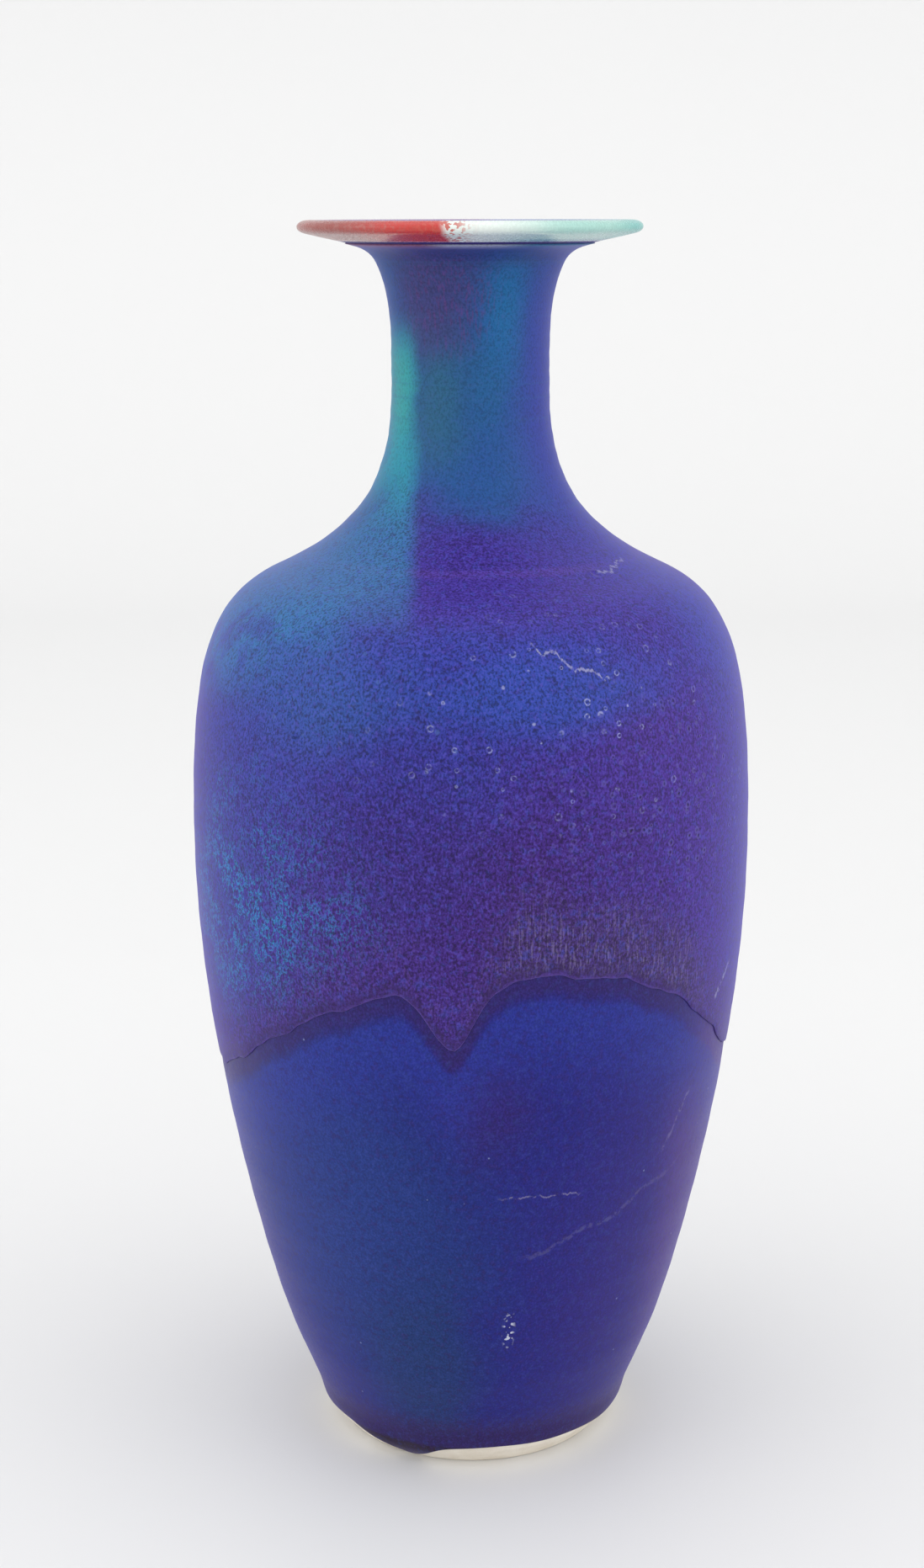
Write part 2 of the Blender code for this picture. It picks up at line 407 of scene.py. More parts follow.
def meltedLift(reach):
    # thickness of the coat at a distance from its edge
    share = np.clip(reach / violetCoat["melt"], 0, 1)
    share = share * share * (3 - 2 * share)
    return violetCoat["lift"] * (violetCoat["edgeShare"] + (1 - violetCoat["edgeShare"]) * share)


def throwVioletCoat():
    lift, nominal, settled = violetCoat["lift"], violetEdge["nominal"], violetEdge["settled"]
    rows = [row for row in wallRows if nominal < row[1] < violetCoat["top"]]
    thin = [meltedLift(violetCoat["top"] - row[1]) for row in rows]
    face = [(r + nr * up, z + nz * up) for (r, z, nr, nz), up in zip(rows, thin)]
    toe = [(face[0][0] + out, face[0][1] + up) for out, up in violetCoat["toe"]]
    back = sink(rows[::3], -violetCoat["overlap"])
    out, up = violetCoat["brow"]
    brow = (face[-1][0] + out, face[-1][1] + up)
    piece = spinPiece("violetGlazeCoat", [*toe, *face, brow, *reversed(back)], closed=True)
    angle, radius, height = polar(readPoints(piece))
    depth = outlineAt(height) - radius
    low = height < settled
    outer = low & (depth < violetCoat["faceDepth"])
    edge = violetEdgeHeight(angle)
    share = (settled - height) / (settled - nominal)
    moved = np.where(low, height + (edge - nominal) * share, height)
    depth = np.where(outer, depth + lift - meltedLift(moved - edge), depth)
    radius = np.where(low, outlineAt(moved) - depth, radius)
    thick, rise, width = violetCoat["roll"]
    radius = radius + np.where(outer, bell(moved - edge - rise, width) * thick, 0)
    radius = radius + throwWobble(angle, moved)
    writePoints(piece, fromPolar(angle, radius, moved))
    refinePits(piece)
    points = readPoints(piece)
    for angle, rise, size, depth in violetCoat["pits"]:
        pressPit(points, angle, rise * mm, size * mm, depth * mm)
    writePoints(piece, points)
    storeEdgeReach(piece)
    return piece


# the lip band, the liner and the foot
def throwLipBand():
    rows = pullCurve(potForm["lip"], potForm["lipStep"])
    back = sink(rows[::2], potForm["coat"])
    return spinPiece("lipGlazeBand", [*sink(rows, 0), *reversed(back)], closed=True)


def throwLiner():
    rows = pullCurve(potForm["throat"], potForm["throatStep"])
    face = sink(rows, 0)
    back = sink(rows[::3], potForm["liner"])
    back[-1] = (0.0, face[-1][1] - potForm["liner"])
    return spinPiece("linerGlazeCoat", [*reversed(back), *face], closed=False)


footForm = {
    "contact": 35.6 * mm,
    "inner": 30.5 * mm,
    "chamfer": 1.2 * mm,
    "flat": 0.5 * mm,  # rounding where it stands
    "rows": 0.7 * mm,
    "marks": (1.3 * mm, 0.05 * mm),  # spacing and depth of the turning marks
}


def turnFootRing():
    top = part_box("foot_ring")[1][2]
    inner, contact, flat = footForm["inner"], footForm["contact"], footForm["flat"]
    ease = inner + footForm["chamfer"]
    stations = (
        (inner, top, 270),
        (inner + 0.2 * mm, 2 * mm, 272),
        (ease, 0.15 * mm, 330),
        (ease + flat, 0.0, 0),
        (contact - flat, 0.0, 0),
        (contact + 0.2 * mm, 0.35 * mm, 48),
        (39.4 * mm, 4.5 * mm, 50),
        (40.3 * mm, 6.5 * mm, 72),
        (41.8 * mm, top, 72),
    )
    rows = pullCurve(stations, footForm["rows"])
    piece = spinPiece("footRing", [(row[0], row[1]) for row in rows], closed=True)
    angle, radius, height = polar(readPoints(piece))
    spacing, size = footForm["marks"]
    marks = size * np.sin(2 * math.pi * height / spacing + np.radians(angle))
    writePoints(piece, fromPolar(angle, radius + marks * (height > size * 6), height))
    return piece


blueGlazeCoat = throwBlueCoat()
finishPiece(blueGlazeCoat, "blue_glaze", "base_glaze")
violetGlazeCoat = throwVioletCoat()
finishPiece(violetGlazeCoat, "violet_glaze", "top_glaze")
lipGlazeBand = throwLipBand()
finishPiece(lipGlazeBand, "lip_glaze", "rim_glaze")
linerGlazeCoat = throwLiner()
finishPiece(linerGlazeCoat, "liner_glaze", "liner_glaze")
footRing = turnFootRing()
finishPiece(footRing, "bare_stoneware", "foot_ring")
print("pieces thrown")


# node helpers
def addNode(tree, kind, **settings):
    node = tree.nodes.new(kind)
    for setting, value in settings.items():
        setattr(node, setting, value)
    return node


def feed(socket, source):
    if hasattr(source, "node"):
        socket.id_data.links.new(source, socket)
    else:
        socket.default_value = source


def calc(operation, *sources):
    # the node goes in the tree that its sources are in
    tree = next(source.id_data for source in sources if hasattr(source, "node"))
    node = addNode(tree, "ShaderNodeMath", operation=operation)
    for socket, source in zip(node.inputs, sources):
        feed(socket, source)
    return node.outputs[0]


def plus(one, other):
    return calc("ADD", one, other)


def minus(one, other):
    return calc("SUBTRACT", one, other)


def times(*factors):
    product = factors[0]
    for factor in factors[1:]:
        product = calc("MULTIPLY", product, factor)
    return product


def ramp(value, low, high, toLow=0, toHigh=1):
    # a smooth step between two values
    tree = value.id_data
    node = addNode(tree, "ShaderNodeMapRange", interpolation_type="SMOOTHSTEP")
    names = ("Value", "From Min", "From Max", "To Min", "To Max")
    for name, source in zip(names, (value, low, high, toLow, toHigh)):
        feed(node.inputs[name], source)
    return node.outputs[0]


def band(value, rise, top, fall, end):
    # 0 below rise, 1 between top and fall, 0 above end
    return times(ramp(value, rise, top), ramp(value, fall, end, 1, 0))


def tint(factor, under, over):
    tree = factor.id_data
    node = addNode(tree, "ShaderNodeMix", data_type="RGBA", clamp_factor=True)
    for index, source in zip((0, 6, 7), (factor, under, over)):
        if index and isinstance(source, tuple):
            source = (*source, 1)
        feed(node.inputs[index], source)
    return node.outputs[2]


def paint(under, over, *masks):
    # lays a colour where all the masks meet
    return tint(times(*masks), under, over)


def noise(tree, vector, scale, detail=2, rough=0.5, output=0):
    node = addNode(tree, "ShaderNodeTexNoise")
    feed(node.inputs["Vector"], vector)
    feed(node.inputs["Scale"], scale)
    node.inputs["Detail"].default_value = detail
    node.inputs["Roughness"].default_value = rough
    return node.outputs[output]


def newGroup(name, inputs, outputs):
    tree = bpy.data.node_groups.new(name, "ShaderNodeTree")
    kind = "NodeSocketFloat"
    for label, value in inputs:
        socket = tree.interface.new_socket(name=label, in_out="INPUT", socket_type=kind)
        socket.default_value = value
    for label in outputs:
        tree.interface.new_socket(name=label, in_out="OUTPUT", socket_type=kind)
    return tree, addNode(tree, "NodeGroupInput").outputs, addNode(tree, "NodeGroupOutput").inputs


def useGroup(tree, group, **values):
    node = addNode(tree, "ShaderNodeGroup", node_tree=group)
    for name, value in values.items():
        feed(node.inputs[name], value)
    return node.outputs


def objectVector(tree, stretch=(1, 1, 1), shift=(0, 0, 0)):
    spot = addNode(tree, "ShaderNodeTexCoord").outputs["Object"]
    node = addNode(tree, "ShaderNodeMapping")
    feed(node.inputs["Vector"], spot)
    node.inputs["Scale"].default_value = stretch
    node.inputs["Location"].default_value = shift
    return node.outputs[0]


def potNoise(tree, perMm, detail=2, rough=0.5, stretch=(1, 1, 1), shift=(0, 0, 0)):
    return noise(tree, objectVector(tree, stretch, shift), perMm / mm, detail, rough)


def drift(tree, amount, perMm, detail, rough=0.5):
    # wanders either side of zero over the pot
    return times(minus(potNoise(tree, perMm, detail, rough), 0.5), amount)


# shared glaze effects
def makePotPlace():
    # angle from the front in degrees, height and place across in millimetres
    tree, _, result = newGroup("potPlace", (), ("Angle", "Height", "Across", "Radius"))
    parts = addNode(tree, "ShaderNodeSeparateXYZ")
    feed(parts.inputs[0], objectVector(tree))
    turn = calc("ARCTAN2", parts.outputs[0], times(parts.outputs[1], -1))
    feed(result["Angle"], times(turn, 180 / math.pi))
    feed(result["Height"], calc("DIVIDE", parts.outputs[2], mm))
    feed(result["Across"], calc("DIVIDE", parts.outputs[0], mm))
    squares = [times(parts.outputs[axis], parts.outputs[axis]) for axis in (0, 1)]
    radius = calc("SQRT", plus(*squares))
    feed(result["Radius"], calc("DIVIDE", radius, mm))
    return tree


potPlace = makePotPlace()


def shifted(tree, seed):
    # object position moved by a seed, so that patterns differ
    shift = addNode(tree, "ShaderNodeVectorMath", operation="ADD")
    feed(shift.inputs[0], objectVector(tree))
    feed(shift.inputs[1], seed)
    return shift.outputs[0]


def makeGlazeCloud():
    # a soft patch of colour on the pot's side, with a wandering outline
    shape = (("Angle", 0), ("Height", 0), ("Across", 10), ("Tall", 10))
    outline = (("Soft", 0.5), ("Wander", 0.5), ("Seed", 0))
    tree, source, result = newGroup("glazeCloud", shape + outline, ("Mask",))
    place = useGroup(tree, potPlace)
    waves = addNode(tree, "ShaderNodeSeparateColor")
    spot = shifted(tree, source["Seed"])
    feed(waves.inputs[0], noise(tree, spot, 0.034 / mm, 5, 0.62, "Color"))
    away = calc("WRAP", minus(place["Angle"], source["Angle"]), 180, -180)
    along = []
    for offset, size, part in (
        (away, source["Across"], waves.outputs[0]),
        (minus(place["Height"], source["Height"]), source["Tall"], waves.outputs[1]),
    ):
        wave = times(minus(part, 0.5), source["Wander"], 3)
        along.append(plus(calc("DIVIDE", offset, size), wave))
    squares = [times(value, value) for value in along]
    distance = calc("SQRT", plus(*squares))
    outer = plus(1, source["Soft"])
    inner = minus(1, source["Soft"])
    feed(result["Mask"], ramp(distance, inner, outer, 1, 0))
    return tree


glazeCloud = makeGlazeCloud()


def makeGlazeSpeckle():
    # fine crystals, mottling and the vertical streaks of a runny glaze, all around 0.5
    outputs = ("Coarse", "Fine", "Streak")
    tree, source, result = newGroup("glazeSpeckle", (("Grain", 0.55),), outputs)
    scale = calc("DIVIDE", 1 / mm, source["Grain"])
    slow = times(scale, 0.3)
    moved = objectVector(tree, shift=(3, 1, 2))
    tall = objectVector(tree, stretch=(1, 1, 0.75))
    runny = objectVector(tree, stretch=(1, 1, 0.16))
    feed(result["Coarse"], noise(tree, moved, slow, 3, 0.6))
    feed(result["Fine"], noise(tree, tall, scale, 2, 0.6))
    feed(result["Streak"], noise(tree, runny, scale, 2, 0.55))
    return tree


glazeSpeckle = makeGlazeSpeckle()


def makePinholes():
    # popped gas bubbles: each chosen cell has a hole in a low ring
    inputs = (("Cell", 4), ("Size", 0.4), ("Share", 0.5), ("Seed", 0))
    tree, source, result = newGroup("pinholes", inputs, ("Hole", "Rim"))
    cells = addNode(tree, "ShaderNodeTexVoronoi", feature="F1")
    feed(cells.inputs["Vector"], shifted(tree, source["Seed"]))
    feed(cells.inputs["Scale"], calc("DIVIDE", 1 / mm, source["Cell"]))
    parts = addNode(tree, "ShaderNodeSeparateColor")
    feed(parts.inputs[0], cells.outputs["Color"])
    chosen = calc("LESS_THAN", parts.outputs[0], source["Share"])
    size = times(source["Size"], ramp(parts.outputs[1], 0, 1, 0.6, 1.25))
    away = times(cells.outputs["Distance"], source["Cell"])
    reach = calc("DIVIDE", away, size)
    rim = times(ramp(reach, 0.6, 0.95), ramp(reach, 1.05, 1.5, 1, 0))
    feed(result["Hole"], times(ramp(reach, 0.3, 0.62, 1, 0), chosen))
    feed(result["Rim"], times(rim, chosen))
    return tree


pinholes = makePinholes()


def makeHairLine():
    # a thin crawl line or scratch across the glaze
    ends = (("From", 0), ("To", 10), ("Start", 0), ("End", 0))
    form = (("Wobble", 2), ("Width", 0.3), ("Seed", 0))
    tree, source, result = newGroup("hairLine", ends + form, ("Line",))
    place = useGroup(tree, potPlace)
    span = minus(source["To"], source["From"])
    along = calc("DIVIDE", minus(place["Angle"], source["From"]), span)
    rise = times(minus(source["End"], source["Start"]), along)
    walk = addNode(tree, "ShaderNodeCombineXYZ")
    feed(walk.inputs[0], times(along, 5))
    feed(walk.inputs[1], source["Seed"])
    sway = minus(noise(tree, walk.outputs[0], 1, 3, 0.6), 0.5)
    line = plus(plus(source["Start"], rise), times(sway, source["Wobble"]))
    away = calc("ABSOLUTE", minus(place["Height"], line))
    mask = ramp(away, times(source["Width"], 0.3), source["Width"], 1, 0)
    inside = times(ramp(along, 0, 0.12), ramp(along, 0.85, 1, 1, 0))
    broken = ramp(potNoise(tree, 0.7, 3, 0.7), 0.4, 0.56)
    feed(result["Line"], times(mask, inside, broken))
    return tree


hairLine = makeHairLine()


def startMaterial(name, roughness=0.5, specular=0.5, sheen=0):
    material = bpy.data.materials.new(name)
    material.use_nodes = True
    tree = material.node_tree
    tree.nodes.clear()
    shader = addNode(tree, "ShaderNodeBsdfPrincipled")
    output = addNode(tree, "ShaderNodeOutputMaterial")
    tree.links.new(shader.outputs[0], output.inputs[0])
    shader.inputs["Roughness"].default_value = roughness
    shader.inputs["Specular IOR Level"].default_value = specular
    shader.inputs["Sheen Weight"].default_value = sheen
    shader.inputs["Sheen Roughness"].default_value = 0.4
    shader.inputs["Sheen Tint"].default_value = (0.4, 0.34, 1, 1)
    return material, tree, shader


def finishMaterial(tree, shader, colour, relief, depth, roughness=None):
    feed(shader.inputs["Base Color"], colour)
    if roughness is not None:
        feed(shader.inputs["Roughness"], roughness)
    bump = addNode(tree, "ShaderNodeBump")
    bump.inputs["Distance"].default_value = depth
    feed(bump.inputs["Height"], relief)
    feed(shader.inputs["Normal"], bump.outputs[0])


def scaled(colour, amount):
    tree = colour.id_data
    node = addNode(tree, "ShaderNodeVectorMath", operation="SCALE")
    feed(node.inputs[0], colour)
    feed(node.inputs["Scale"], amount)
    return node.outputs[0]


def cloudMask(tree, *values):
    names = ("Angle", "Height", "Across", "Tall", "Soft", "Wander", "Seed")
    return useGroup(tree, glazeCloud, **dict(zip(names, values)))["Mask"]


def layClouds(tree, colour, clouds):
    # each cloud: angle, height, half width, half height, softness, wander, strength, colour
    for number, (*shape, strength, shade) in enumerate(clouds):
        mask = cloudMask(tree, *shape, 0.37 * number)
        colour = paint(colour, shade, mask, strength)
    return colour


def layHairLines(tree, colour, lines, shade):
    # each line: from and to angle, start and end height, wobble, width, strength, seed
    names = ("From", "To", "Start", "End", "Wobble", "Width")
    for *values, strength, seed in lines:
        line = useGroup(tree, hairLine, **dict(zip(names, values)), Seed=seed)["Line"]
        colour = paint(colour, shade, line, strength)
    return colour


def raggedReach(tree, ragged):
    # distance above the violet coat's edge in millimetres, made a little ragged
    reach = addNode(tree, "ShaderNodeAttribute", attribute_name="edgeReach").outputs["Fac"]
    return plus(reach, drift(tree, ragged, 0.4, 4, 0.65))


# violet glaze
violetGlaze = {
    "violet": (0.042, 0.022, 0.27),
    "roughness": (0.42, 0.56),
    "clouds": (
        (58, 172, 36, 60, 0.7, 0.3, 0.7, (0.07, 0.02, 0.3)),
        (5, 160, 34, 26, 0.6, 0.4, 0.8, (0.05, 0.01, 0.16)),
        (-30, 150, 20, 22, 0.6, 0.4, 0.6, (0.055, 0.02, 0.22)),
        (40, 212, 14, 22, 0.7, 0.5, 0.6, (0.065, 0.02, 0.26)),
        (-46, 210, 30, 24, 0.6, 0.35, 0.75, (0.03, 0.055, 0.35)),
        (8, 217, 34, 12, 0.6, 0.4, 0.75, (0.026, 0.05, 0.38)),
        (-8, 205, 18, 16, 0.6, 0.5, 0.6, (0.02, 0.035, 0.3)),
        (-34, 214, 20, 14, 0.6, 0.6, 0.6, (0.02, 0.1, 0.36)),
        (14, 213, 22, 9, 0.5, 0.6, 0.5, (0.02, 0.075, 0.4)),
        (72, 224, 15, 22, 0.6, 0.4, 0.7, (0.04, 0.07, 0.4)),
        (78, 170, 16, 40, 0.6, 0.4, 0.5, (0.045, 0.05, 0.38)),
        (-60, 160, 22, 34, 0.6, 0.4, 0.5, (0.035, 0.045, 0.3)),
        (-14, 178, 16, 22, 0.6, 0.5, 0.5, (0.03, 0.02, 0.22)),
        (150, 215, 34, 24, 0.6, 0.4, 0.7, (0.03, 0.1, 0.4)),
        (-130, 190, 30, 30, 0.6, 0.5, 0.6, (0.03, 0.05, 0.34)),
        (-165, 160, 26, 20, 0.6, 0.5, 0.6, (0.04, 0.012, 0.19)),
        (118, 160, 24, 24, 0.6, 0.4, 0.6, (0.036, 0.016, 0.19)),
    ),
    "shoulder": (
        (18, 237, 50, 9, 0.5, 0.2, 0.75, (0.052, 0.024, 0.3)),
    ),
    "neck": (
        (70, 270, 32, 50, 0.7, 0.15, 0.75, (0.045, 0.05, 0.38)),
        (-22, 277, 24, 14, 0.8, 0.5, 0.8, (0.018, 0.13, 0.22)),
        (24, 299, 16, 14, 0.8, 0.4, 0.85, (0.004, 0.15, 0.38)),
        (12, 280, 12, 10, 0.7, 0.25, 0.5, (0.008, 0.13, 0.3)),
        (-28, 302, 32, 13, 0.6, 0.35, 0.85, (0.048, 0.045, 0.18)),
        (0, 312, 60, 3, 0.6, 0.3, 0.5, (0.03, 0.03, 0.16)),
        (150, 285, 22, 22, 0.6, 0.4, 0.7, (0.015, 0.2, 0.4)),
        (-130, 290, 24, 20, 0.6, 0.4, 0.6, (0.04, 0.05, 0.28)),
    ),
    "neckBlue": (0.012, 0.088, 0.31),
    "neckFrom": (238, 260),
    "ridge": (0.12, 0.05, 0.34),  # where the neck joins the shoulder
    "ridgeAt": (236.4, 237.2, 237.8, 238.8),
    "throwLines": (0.025, 0.14, 0.33),
    # a turquoise brush stroke down the neck, in millimetres across and up, and degrees round
    "turquoise": (0.02, 0.33, 0.42),
    "turquoiseAt": (242, 264, 284, 300),
    "green": (0.045, 0.42, 0.33),
    "greenAt": (262, 276, 284, 296),
    "shoulderBlue": (0.02, 0.22, 0.44),
    "shoulderBlueAt": (208, 228, 250, 262),
    "brushStop": (-17, -11.5),
    "brushBack": (-135, -95),
    "maroon": (0.1, 0.045, 0.2),
    "maroonAt": (-20, 301, 32, 12, 0.6, 0.4),
    "flecks": (0.014, 0.25, 0.55),
    "flecksAt": (-52, 155, 24, 26, 0.75, 0.4),
    # by distance above the coat's edge, in millimetres
    "thin": (0.048, 0.014, 0.17),
    "thinTo": (3, 22),
    "arch": (0.055, 0.028, 0.12),
    "archRound": (-2, 12, 44, 60),
    "archAt": (1, 2.5, 6, 28),
    "archRuns": (0.2, 0.17, 0.32),
    "runs": (0.13, 0.06, 0.28),
    "runsAt": (1.5, 3.5, 9, 24),
    "edgeShade": (0.026, 0.01, 0.08),
    "edgeShadeAt": (0.6, 1.4, 2.6, 5),
    "edgeLine": (0.085, 0.045, 0.26),
    # right under the lip
    "lipTones": ((0.3, 0.1, 0.16), (0.4, 0.42, 0.55), (0.03, 0.16, 0.3)),
    # grain
    "bright": (0.035, 0.06, 0.4),
    "deep": (0.03, 0.008, 0.15),
    "fine": (0.1, 0.075, 0.46),
    # bubbles
    "ring": (0.3, 0.32, 0.6),
    "ringHole": (0.02, 0.01, 0.07),
    "ringsAt": (18, 204, 30, 20, 0.7, 0.4),
    "healed": (0.08, 0.15, 0.42),
    "healedAt": (-22, 206, 34, 18, 0.6, 0.4),
    "halo": (0.13, 0.12, 0.4),
    "pinhole": (0.006, 0.004, 0.02),
    "pinholesAt": (48, 186, 34, 26, 0.7, 0.4),
    "hairLine": (0.3, 0.3, 0.5),
    "hairLines": (
        (12, 31, 224, 214, 9, 0.5, 0.7, 3),
        (43, 66, 236, 238, 4, 0.35, 0.6, 8),
        (60, 68, 128, 137, 9, 1.1, 0.6, 5),
        (-150, -118, 196, 206, 9, 0.4, 0.6, 6),
    ),
}


def brushNeck(tree, look, place, speck, colour, sway):
    height, angle = place["Height"], place["Angle"]
    # the neck is bluer than the belly
    onNeck = ramp(plus(height, drift(tree, 26, 0.05, 3)), *look["neckFrom"])
    colour = tint(onNeck, colour, look["neckBlue"])
    colour = layClouds(tree, colour, look["shoulder"])
    colour = paint(colour, look["ridge"], band(height, *look["ridgeAt"]), 0.35)
    colour = layClouds(tree, colour, look["neck"])
    # the turquoise stroke stops sharply across the front
    left = ramp(plus(place["Across"], sway), *look["brushStop"], 1, 0)
    stroke = times(left, ramp(angle, *look["brushBack"]))
    foam = ramp(potNoise(tree, 0.12, 4, 0.6, stretch=(1, 1, 0.5)), 0.25, 0.5, 0.7, 1)
    lower = plus(height, times(sway, 2))
    lower = minus(lower, ramp(angle, -70, -14, -8, 13))
    patchy = potNoise(tree, 0.09, 4, 0.6, stretch=(1, 1, 0.8))
    patchy = ramp(patchy, 0.38, 0.56, 0.35, 1)
    patchy = calc("MAXIMUM", patchy, ramp(height, 222, 230))
    lower = band(lower, *look["shoulderBlueAt"])
    colour = paint(colour, look["shoulderBlue"], stroke, patchy, lower, 0.72)
    bluest = band(height, *look["turquoiseAt"])
    colour = paint(colour, look["turquoise"], stroke, foam, bluest)
    greenest = band(height, *look["greenAt"])
    colour = paint(colour, look["green"], stroke, greenest, 0.5)
    # throwing lines show through
    rings = addNode(tree, "ShaderNodeCombineXYZ")
    feed(rings.inputs[2], height)
    ringed = ramp(noise(tree, rings.outputs[0], 0.55, 3, 0.7), 0.5, 0.7)
    colour = paint(colour, look["throwLines"], ringed, onNeck, 0.25)
    # maroon streaks at the top left
    streaky = ramp(speck["Streak"], 0.5, 0.64, 0, 0.65)
    lot = cloudMask(tree, *look["maroonAt"], 12)
    return paint(colour, look["maroon"], lot, streaky), onNeck


def shadeEdge(tree, look, place, reach, colour, sway):
    # above its edge the coat is thin and purple, with pale runs
    colour = tint(ramp(reach, *look["thinTo"], 0.7, 0), colour, look["thin"])
    loose = times(sway, 1.5)
    arch = band(plus(place["Angle"], loose), *look["archRound"])
    arch = times(arch, band(plus(reach, loose), *look["archAt"]))
    colour = paint(colour, look["arch"], arch, 0.7)
    runs = ramp(potNoise(tree, 2.2, 2, 0.6, stretch=(1, 1, 0.1)), 0.5, 0.66)
    pale = times(runs, band(reach, *look["runsAt"]), 0.3)
    colour = tint(pale, colour, look["runs"])
    return paint(colour, look["archRuns"], runs, arch, 0.45)


def outlineEdge(look, place, reach, colour):
    # dark shadow and pale violet line along the edge, fading out on the right
    front = ramp(place["Angle"], 42, 54, 1, 0.12)
    front = calc("MAXIMUM", front, ramp(place["Angle"], 100, 120))
    shade = band(reach, *look["edgeShadeAt"])
    colour = paint(colour, look["edgeShade"], shade, front, 0.4)
    line = ramp(reach, 0.6, 1.5, 0.5, 0)
    return paint(colour, look["edgeLine"], line, front)


def popBubbles(tree, look, colour):
    # bubbles that popped: some are a ring, some have healed and some are open pinholes
    field = cloudMask(tree, *look["ringsAt"], 4)
    ring = useGroup(tree, pinholes, Cell=3.4, Size=0.6, Share=0.5, Seed=2)
    arc = ramp(potNoise(tree, 1.2, 1), 0.4, 0.6, 0.15, 1)
    rim = times(ring["Rim"], field, arc)
    colour = paint(colour, look["ring"], rim, 0.75)
    colour = paint(colour, look["ringHole"], ring["Hole"], field, 0.5)
    healed = useGroup(tree, pinholes, Cell=3.6, Size=1.1, Share=0.4, Seed=8)["Hole"]
    lot = cloudMask(tree, *look["healedAt"], 6)
    colour = paint(colour, look["healed"], healed, lot, 0.35)
    small = useGroup(tree, pinholes, Cell=2.4, Size=0.6, Share=0.45, Seed=5)
    lot = plus(times(cloudMask(tree, *look["pinholesAt"], 7), 0.85), 0.12)
    dots = times(small["Hole"], lot)
    halo = times(small["Rim"], lot)
    colour = paint(colour, look["halo"], halo, 0.3)
    colour = paint(colour, look["pinhole"], dots, 0.9)
    relief = minus(times(plus(rim, halo), 0.5), times(dots, 1.2))
    return colour, relief


def makeVioletGlaze():
    look = violetGlaze
    material, tree, shader = startMaterial("violetGlaze", specular=0.2, sheen=0.3)
    place = useGroup(tree, potPlace)
    speck = useGroup(tree, glazeSpeckle, Grain=0.55)
    reach = raggedReach(tree, 3)
    sway = drift(tree, 4, 0.08, 4, 0.6)
    colour = layClouds(tree, look["violet"], look["clouds"])
    colour, onNeck = brushNeck(tree, look, place, speck, colour, sway)
    # turquoise flecks in the lower left
    fleck = potNoise(tree, 0.55, 3, 0.7, stretch=(1, 1, 0.6), shift=(2, 6, 4))
    vein = ramp(calc("ABSOLUTE", minus(fleck, 0.5)), 0.012, 0.05, 0.95, 0)
    gather = ramp(potNoise(tree, 0.1, 2, shift=(5, 2, 1)), 0.38, 0.56, 0.25, 1)
    lot = cloudMask(tree, *look["flecksAt"], 9)
    colour = paint(colour, look["flecks"], vein, gather, lot)
    colour = shadeEdge(tree, look, place, reach, colour, sway)
    # right under the lip the coat is thin and takes the colour of the band
    flare = ramp(place["Radius"], 27, 30.5, 0, 0.75)
    high = ramp(place["Height"], 308, 311)
    pink, white, teal = look["lipTones"]
    tone = tint(ramp(place["Angle"], -24, -8), pink, white)
    tone = tint(ramp(place["Angle"], 8, 34), tone, teal)
    colour = paint(colour, tone, flare, high)
    # mottling and grain, calmer on the neck
    grainy = minus(1, times(onNeck, 0.7))
    bright = ramp(speck["Coarse"], 0.5, 0.68, 0, 0.4)
    deep = ramp(speck["Coarse"], 0.5, 0.32, 0, 0.4)
    fine = ramp(speck["Fine"], 0.52, 0.7, 0, 0.42)
    colour = paint(colour, look["bright"], bright, grainy)
    colour = paint(colour, look["deep"], deep, grainy)
    colour = paint(colour, look["fine"], fine, grainy)
    dim = ramp(speck["Fine"], 0.34, 0.56, 0.45, -0.12)
    dim = times(dim, minus(1, times(onNeck, 0.56)))
    colour = scaled(colour, minus(0.82, dim))
    colour = outlineEdge(look, place, reach, colour)
    colour, bubbles = popBubbles(tree, look, colour)
    colour = layHairLines(tree, colour, look["hairLines"], look["hairLine"])
    rough = ramp(speck["Fine"], 0.3, 0.7, *look["roughness"])
    relief = plus(times(speck["Fine"], 0.3), times(speck["Coarse"], 0.4))
    finishMaterial(tree, shader, colour, plus(relief, bubbles), 0.1 * mm, rough)
    return material


